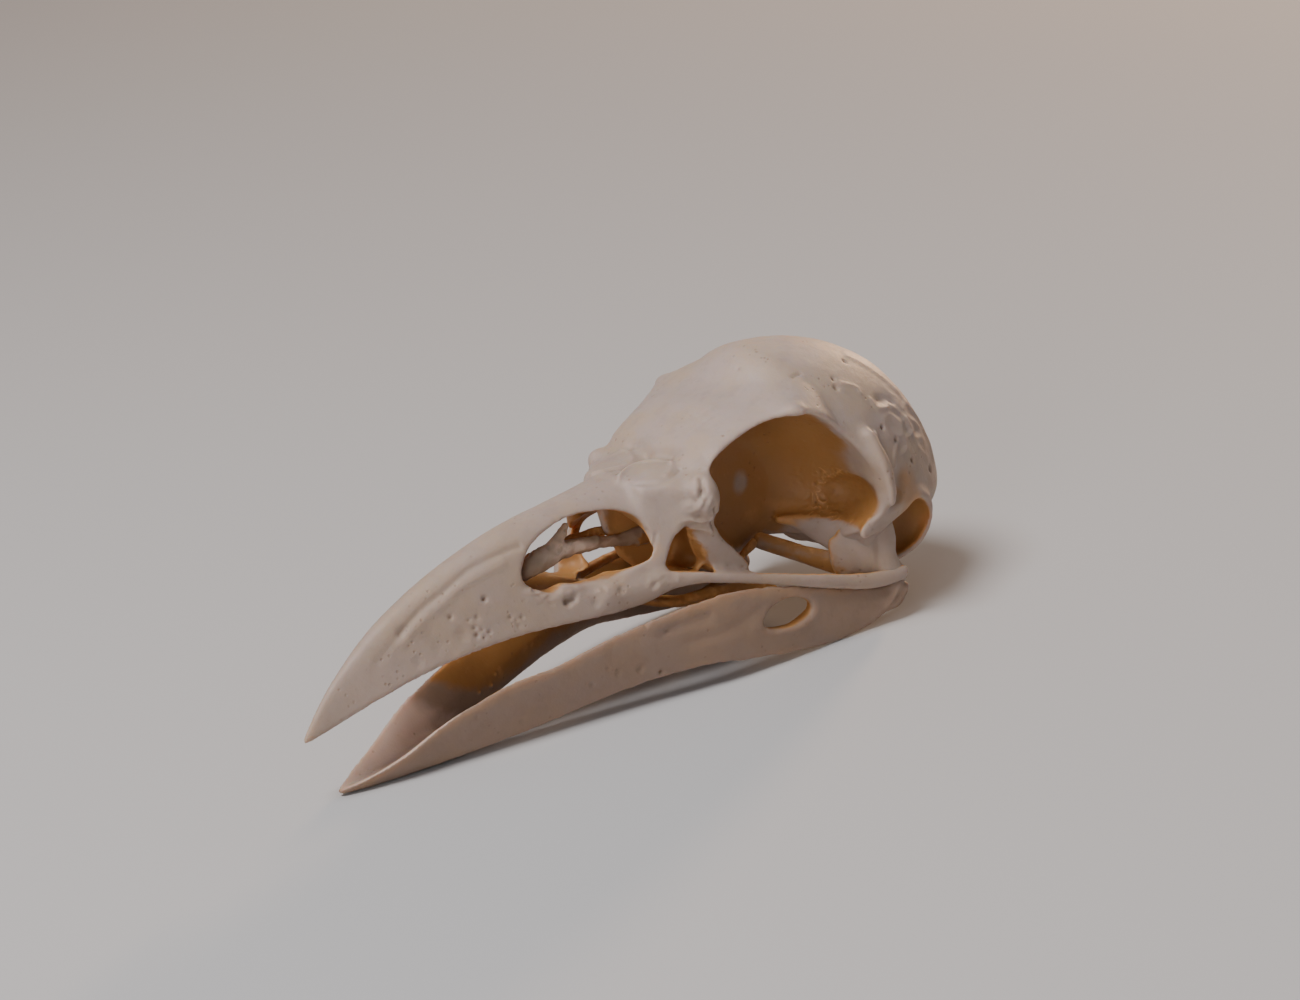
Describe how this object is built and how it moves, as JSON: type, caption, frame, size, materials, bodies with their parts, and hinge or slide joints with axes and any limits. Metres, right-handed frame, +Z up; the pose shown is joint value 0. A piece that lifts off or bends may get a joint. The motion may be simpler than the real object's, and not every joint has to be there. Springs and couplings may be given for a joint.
{
  "type": "crow skull",
  "caption": "Clean dry skull of a crow with its lower jaw closed beneath the long curved beak, lying level on both jaw branches.",
  "frame": {"origin": "middle of the underside of the whole skull's box, on the surface it lies on", "axes": "+X from the beak towards the back of the head, +Y towards the bird's right side, +Z up"},
  "size_m": [0.0944, 0.0324, 0.0354],
  "materials": {
    "skull_bone": "dry matt bone, pale greyish ivory",
    "thin_bone": "thin dry bone, warm brown in the hollows",
    "jaw_bone": "dry matt bone, slightly browner than the skull"
  },
  "bodies": {
    "root": {"braincase": "skull_bone", "upper_beak": "skull_bone", "interorbital_septum": "thin_bone", "lacrimal_left": "skull_bone", "lacrimal_right": "skull_bone", "nasal_rods": "thin_bone", "jugal_bar_left": "skull_bone", "jugal_bar_right": "skull_bone", "palatine_left": "thin_bone", "palatine_right": "thin_bone", "pterygoid_left": "thin_bone", "pterygoid_right": "thin_bone", "quadrate_left": "skull_bone", "quadrate_right": "skull_bone", "mandible": "jaw_bone"}
  },
  "joints": []
}
